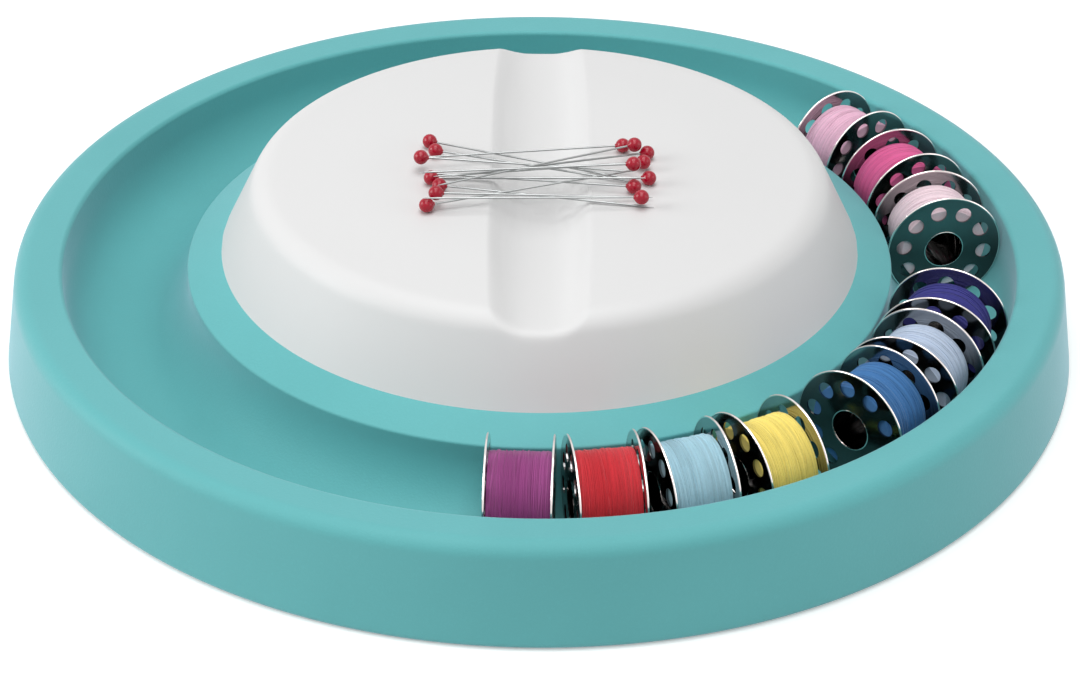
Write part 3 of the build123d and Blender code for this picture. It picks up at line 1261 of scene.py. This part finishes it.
@dataclass
class Winding:
    """Thread wound on a bobbin. Sizes in millimetres."""

    TURN = "thread_turn"
    radius: float = 7.5
    width: float = 9.5
    core_radius: float = 3.75
    thread: float = 0.3
    strand_radius: float = 0.52  # radius of a strand as a share of the thread
    turns: int = 36
    loose_turns: float = 2.5
    loose_rise: float = 0.4  # how far the loose turns lie out, as a share of the thread
    back_turns: float = 1.7  # turns that run back across the others, for each loose one
    back_rise: float = 0.25
    unevenness: float = 0.2
    swing: float = 1.6  # the widest push as a multiple of the unevenness
    push_rate: float = 0.8  # how fast the push outwards changes, for each turn
    push_middle: float = 0.62
    sway_rate: float = 1.7  # how fast the push sideways changes, for each turn
    sway_middle: float = 0.5
    sway_seed: float = 3.0
    layer_seeds: tuple[float, float, float] = (0.0, 40.0, 80.0)  # close, loose and back
    round_points: int = 56
    strand_points: int = 5
    sharp: float = 60.0

    def tree(self) -> PieceTree:
        """The Geometry Nodes tree of one winding.

        Returns:
            The tree, which makes a winding along Z: a close outer layer with loose turns over it.
        """
        t = PieceTree(
            "winding",
            {
                "Radius": self.radius * MM,
                "Width": self.width * MM,
                "Thread": self.thread * MM,
                "Turns": float(self.turns),
                "Loose Turns": self.loose_turns,
                "Core": self.core_radius * MM,
                "Uneven": self.unevenness * MM,
                "Seed": 0.0,
            },
        )
        thread = t.given("Thread")
        layer = t.given("Radius") - thread * 0.5
        few = t.given("Loose Turns")
        close_seed, loose_seed, back_seed = self.layer_seeds
        close = self._spiral(t, t.given("Turns"), layer, close_seed)
        loose = self._spiral(t, few, layer + thread * self.loose_rise, loose_seed)
        back = self._spiral(t, few * self.back_turns, layer + thread * self.back_rise, back_seed, True)
        strand = t.circle(thread * self.strand_radius, self.strand_points)
        strands = t.tube(t.together([close, loose, back]), strand)
        inside = t.oblong(layer - t.given("Core"), t.given("Width"))
        middle = (layer + t.given("Core")) * 0.5
        body = t.tube(t.circle(middle, self.round_points), inside)
        t.close(t.together([body, strands]))
        return t

    def _spiral(
        self, t: PieceTree, turns: Value, radius: Value, seed: float, back: bool = False
    ) -> Value:
        """One layer of thread.

        Args:
            t: The tree.
            turns: How many turns it makes.
            radius: Radius of its middle line.
            seed: Sets its unevenness apart from the other layers'.
            back: Whether it runs back across the others.

        Returns:
            The curve, pushed about a little, that carries the number of each turn.
        """
        run = t.given("Width") - t.given("Thread")
        spiral = t.value(
            "GeometryNodeCurveSpiral",
            None,
            {
                "Resolution": self.round_points,
                "Rotations": turns,
                "Start Radius": radius,
                "End Radius": radius,
                "Height": run,
                "Reverse": back,
            },
        )
        spiral = t.lifted(spiral, run * -0.5)
        along = t.value("GeometryNodeSplineParameter", None, None, "Factor") * turns
        push = self._drift(t, along * self.push_rate + t.given("Seed") + seed)
        sway = self._drift(t, along * self.sway_rate + t.given("Seed") * self.sway_seed + seed)
        place = t.value("GeometryNodeInputPosition")
        outward = t.value("ShaderNodeVectorMath", {"operation": "MULTIPLY"}, {0: place, 1: (1.0, 1.0, 0.0)})
        outward = t.value("ShaderNodeVectorMath", {"operation": "NORMALIZE"}, {0: outward})
        swell = (push - self.push_middle) * t.given("Uneven") * self.swing
        out = t.value("ShaderNodeVectorMath", {"operation": "SCALE"}, {0: outward, "Scale": swell})
        aside = (sway - self.sway_middle) * t.given("Uneven") * self.swing
        shift = t.value("ShaderNodeCombineXYZ", None, {2: aside})
        total = t.value("ShaderNodeVectorMath", {"operation": "ADD"}, {0: out, 1: shift})
        spiral = t.value("GeometryNodeSetPosition", None, {"Geometry": spiral, "Offset": total})
        return t.marked(spiral, self.TURN, along + seed)

    @staticmethod
    def _drift(t: PieceTree, place: Value) -> Value:
        """A slow noise from 0 to 1 along a thread."""
        inputs = {"W": place, "Scale": 1.0, "Detail": 2.0}
        return t.value("ShaderNodeTexNoise", {"noise_dimensions": "1D"}, inputs)


@dataclass
class Bobbins:
    """The ten bobbins in the channel."""

    spool: Spool = field(default_factory=Spool)
    winding: Winding = field(default_factory=Winding)
    hole_turns: tuple[float, ...] = (4, 17, 6, 11, 26, 9, 30, 6, 21, 13)  # in degrees
    seed_step: float = 7.3

    @staticmethod
    def placed(node: str) -> Matrix:
        """Where a bobbin stands, with its own Z along the channel.

        Args:
            node: Its CAD spool.

        Returns:
            The placing matrix.
        """
        middle = centre_of(node)
        azimuth = math.atan2(middle.y, middle.x)
        along = Matrix.Rotation(azimuth, 4, "Z") @ Matrix.Rotation(math.radians(-90), 4, "X")
        return Matrix.Translation(middle) @ along

    def build(self) -> None:
        """Make every bobbin in place of its CAD nodes."""
        spool_tree = self.spool.tree()
        winding_tree = self.winding.tree()
        nickel = self.spool.finish.material()
        for colour in ThreadColour:
            number, shade = colour.value
            body = f"bobbin_{number:02d}"
            place = self.placed(body + "_spool")
            turn = math.radians(self.hole_turns[number - 1])
            spool = spool_tree.mesh(f"spool_{number:02d}", nickel, Hole_Turn=turn)
            spool.transform(place)
            metal = dressed(f"spool_{number:02d}", spool, nickel)
            show_on(metal, body, "bobbin_nickel", body + "_spool")
            thread = SewingThread(colour.name.lower(), shade).material()
            wound = winding_tree.mesh(f"thread_{number:02d}", thread, Seed=self.seed_step * number)
            wound.transform(place)
            yarn = dressed(f"thread_{number:02d}", wound, thread, self.winding.sharp)
            show_on(yarn, body, "thread_" + colour.name.lower(), body + "_thread")


# ---------------------------------------------------------------- pins


@dataclass
class Pins:
    """The loose pins with their ball heads. Sizes in millimetres."""

    count: int = 15
    length: float = 37.0
    head_radius: float = 1.24
    head_end: float = 68.0  # where the ball gives way to the collar, in degrees above its middle
    neck: float = 0.36  # radius of the little collar where the shaft leaves the head
    neck_taper: float = 0.92
    collar_rises: tuple[float, float, float] = (0.02, 0.1, 0.12)  # its foot, shoulder and top
    shaft_radius: float = 0.17
    shaft_start: float = 0.2
    point: float = 2.4  # how long the tapering end is
    point_form: tuple[Point, ...] = ((1.0, 1.0), (0.8, 0.55), (0.42, 0.2))  # shares of radius and length
    tip_radius: float = 0.04
    tip_round: float = 0.02
    head_steps: int = 22
    head_sides: int = 28
    shaft_sides: int = 12
    sharp: float = 50.0
    head_finish: GlossyBall = GlossyBall(srgb(168, 5, 38))
    wire_finish: BareMetal = BareMetal(
        "pin_wire", (0.34, 0.35, 0.35), 0.26, marks=0.08, rub=0.08, rub_depth=0.0008
    )

    def head(self) -> Mesh:
        """A ball round the origin with a small collar towards +Z.

        Returns:
            Vertices in millimetres and faces.
        """
        rise = self.head_radius
        ball = arc((0, 0), self.head_radius, -90, self.head_end, self.head_steps)
        ball[0] = (0.0, -rise)
        foot, shoulder, top = (rise + step for step in self.collar_rises)
        collar = [(self.neck, foot), (self.neck * self.neck_taper, shoulder), (0.0, top)]
        return turned(ball + collar, self.head_sides, closed=False)

    def shaft(self) -> Mesh:
        """The wire from inside the head to its point, along +Z.

        Returns:
            Vertices in millimetres and faces.
        """
        reach = self.length - self.head_radius
        full = self.shaft_radius
        outline = [(0.0, self.shaft_start), (full, self.shaft_start)]
        outline += [(full * radius, reach - self.point * length) for radius, length in self.point_form]
        outline += [(self.tip_radius, reach - self.tip_round), (0.0, reach)]
        return turned(outline, self.shaft_sides, closed=False)

    def placed(self, number: int) -> Matrix:
        """Where a pin lies: its head's middle, with Z along the shaft.

        Args:
            number: Which pin, from 1.

        Returns:
            The placing matrix.
        """
        head = centre_of(f"pin_{number:02d}_head")
        corners = [v.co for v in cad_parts[f"pin_{number:02d}_shaft"].data.vertices]
        tip = max(corners, key=lambda corner: (corner - head).length)
        along = (tip - head).to_track_quat("Z", "Y").to_matrix().to_4x4()
        return Matrix.Translation(head) @ along

    def build(self) -> None:
        """Make every pin in place of its CAD nodes."""
        red = self.head_finish.material()
        wire = self.wire_finish.material()
        for number in range(1, self.count + 1):
            body = f"pin_{number:02d}"
            place = self.placed(number)
            for part, shape, finish, slot in (
                ("head", self.head(), red, "pin_head_red"),
                ("shaft", self.shaft(), wire, "pin_steel"),
            ):
                piece = mesh_object(f"{body}_{part}_round", *shape, finish, self.sharp)
                piece.data.transform(place)
                show_on(piece, body, slot, f"{body}_{part}")


# ---------------------------------------------------------------- the studio


@dataclass(frozen=True)
class Lamp:
    """A square soft lamp that points at the bowl. Sizes in metres."""

    name: str
    place: Place
    size: float
    watts: float

    def build(self) -> None:
        """Hang the lamp."""
        light = bpy.data.lights.new(self.name, "AREA")
        light.shape = "SQUARE"
        light.size = self.size
        light.energy = self.watts
        lamp = bpy.data.objects.new(self.name, light)
        lamp.location = self.place
        lamp.rotation_euler = (-Vector(self.place)).to_track_quat("-Z", "Y").to_euler()
        bpy.context.scene.collection.objects.link(lamp)


@dataclass
class Studio:
    """Plain white floor, soft lights and the photograph's camera. Sizes in metres."""

    floor_size: float = 8.0
    floor_drop: float = 0.0002  # how far the floor lies under the bowl
    floor_shade: Colour = (0.82, 0.82, 0.82)
    floor_lift: float = 0.32  # white added where a camera, gloss or glass ray meets the floor
    ambient: float = 0.2
    focal_length: float = 2512.5  # in the photograph's pixels, as is its width
    picture_width: float = 1080
    clip: Point = (0.01, 50.0)
    distance: float = 0.4366
    elevation: float = 32.38  # in degrees, as is the roll
    roll: float = 0.354
    aim: Place = (0.00016, -0.00699, 0.0)
    lamps: tuple[Lamp, ...] = (
        Lamp("top", (0.0, 0.05, 1.2), 0.8, 7.6),
        Lamp("left", (-1.1, -0.1, 0.5), 0.6, 6.4),
        Lamp("right", (1.1, -0.3, 0.45), 0.6, 1.9),
        Lamp("front", (-0.05, -0.7, 1.1), 0.7, 4.7),
    )

    @staticmethod
    def seen_directly(graph: Graph) -> Value:
        """Tells rays that see a thing from those that only light others by it.

        Args:
            graph: The tree that asks.

        Returns:
            1 for rays from the camera and for rays off gloss or through glass, else 0.
        """
        path = graph.node("ShaderNodeLightPath")
        camera = Value(graph, path.outputs["Is Camera Ray"])
        gloss = Value(graph, path.outputs["Is Glossy Ray"])
        glass = Value(graph, path.outputs["Is Transmission Ray"])
        return camera.largest(gloss).largest(glass)

    def world(self) -> None:
        """White background, with a softer level for the light that it gives."""
        world = bpy.data.worlds.new("studio")
        world.use_nodes = True
        bpy.context.scene.world = world
        g = Graph(world.node_tree)
        dim = g.value("ShaderNodeBackground", None, {"Color": (*WHITE, 1.0), "Strength": self.ambient})
        white = g.value("ShaderNodeBackground", None, {"Color": (*WHITE, 1.0), "Strength": 1.0})
        both = g.value("ShaderNodeMixShader", None, {0: self.seen_directly(g), 1: dim, 2: white})
        g.node("ShaderNodeOutputWorld", None, {"Surface": both})

    def floor(self) -> None:
        """A wide pale floor just under the bowl."""
        half = self.floor_size / 2 / MM
        z = -self.floor_drop / MM
        corners = [(-half, -half, z), (half, -half, z), (half, half, z), (-half, half, z)]
        material = bpy.data.materials.new("studio_floor")
        material.use_nodes = True
        g = Graph(material.node_tree)
        matte = g.value("ShaderNodeBsdfDiffuse", None, {"Color": (*self.floor_shade, 1.0)})
        lift = self.seen_directly(g) * self.floor_lift
        glow = g.value("ShaderNodeEmission", None, {"Color": (*WHITE, 1.0), "Strength": lift})
        both = g.value("ShaderNodeAddShader", None, {0: matte, 1: glow})
        g.node("ShaderNodeOutputMaterial", None, {"Surface": both})
        mesh_object("studio_floor", corners, [(0, 1, 2, 3)], material)

    def camera(self) -> None:
        """The camera at the photograph's place and angle."""
        data = bpy.data.cameras.new("camera")
        data.lens = data.sensor_width * (self.focal_length / self.picture_width)
        data.clip_start, data.clip_end = self.clip
        camera = bpy.data.objects.new("camera", data)
        tilt = math.radians(self.elevation)
        back = Vector((0, -math.cos(tilt), math.sin(tilt)))
        turn = Matrix.Rotation(math.radians(90 - self.elevation), 4, "X")
        turn = turn @ Matrix.Rotation(math.radians(self.roll), 4, "Z")
        camera.matrix_world = Matrix.Translation(Vector(self.aim) + back * self.distance) @ turn
        bpy.context.scene.collection.objects.link(camera)
        bpy.context.scene.camera = camera

    def build(self) -> None:
        """Set the whole studio up."""
        bpy.context.scene.view_settings.view_transform = "Standard"
        self.world()
        self.floor()
        for lamp in self.lamps:
            lamp.build()
        self.camera()


def main() -> None:
    """Build the bowl, its bobbins and its pins."""
    logging.basicConfig(level=logging.INFO, format="%(name)s: %(message)s")
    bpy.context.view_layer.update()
    for part in (Tray(), Dome(), Underside(), Bobbins(), Pins(), Studio()):
        part.build()
        LOG.info("%s is done", type(part).__name__)
    bpy.context.view_layer.update()


if __name__ == "__main__":
    main()
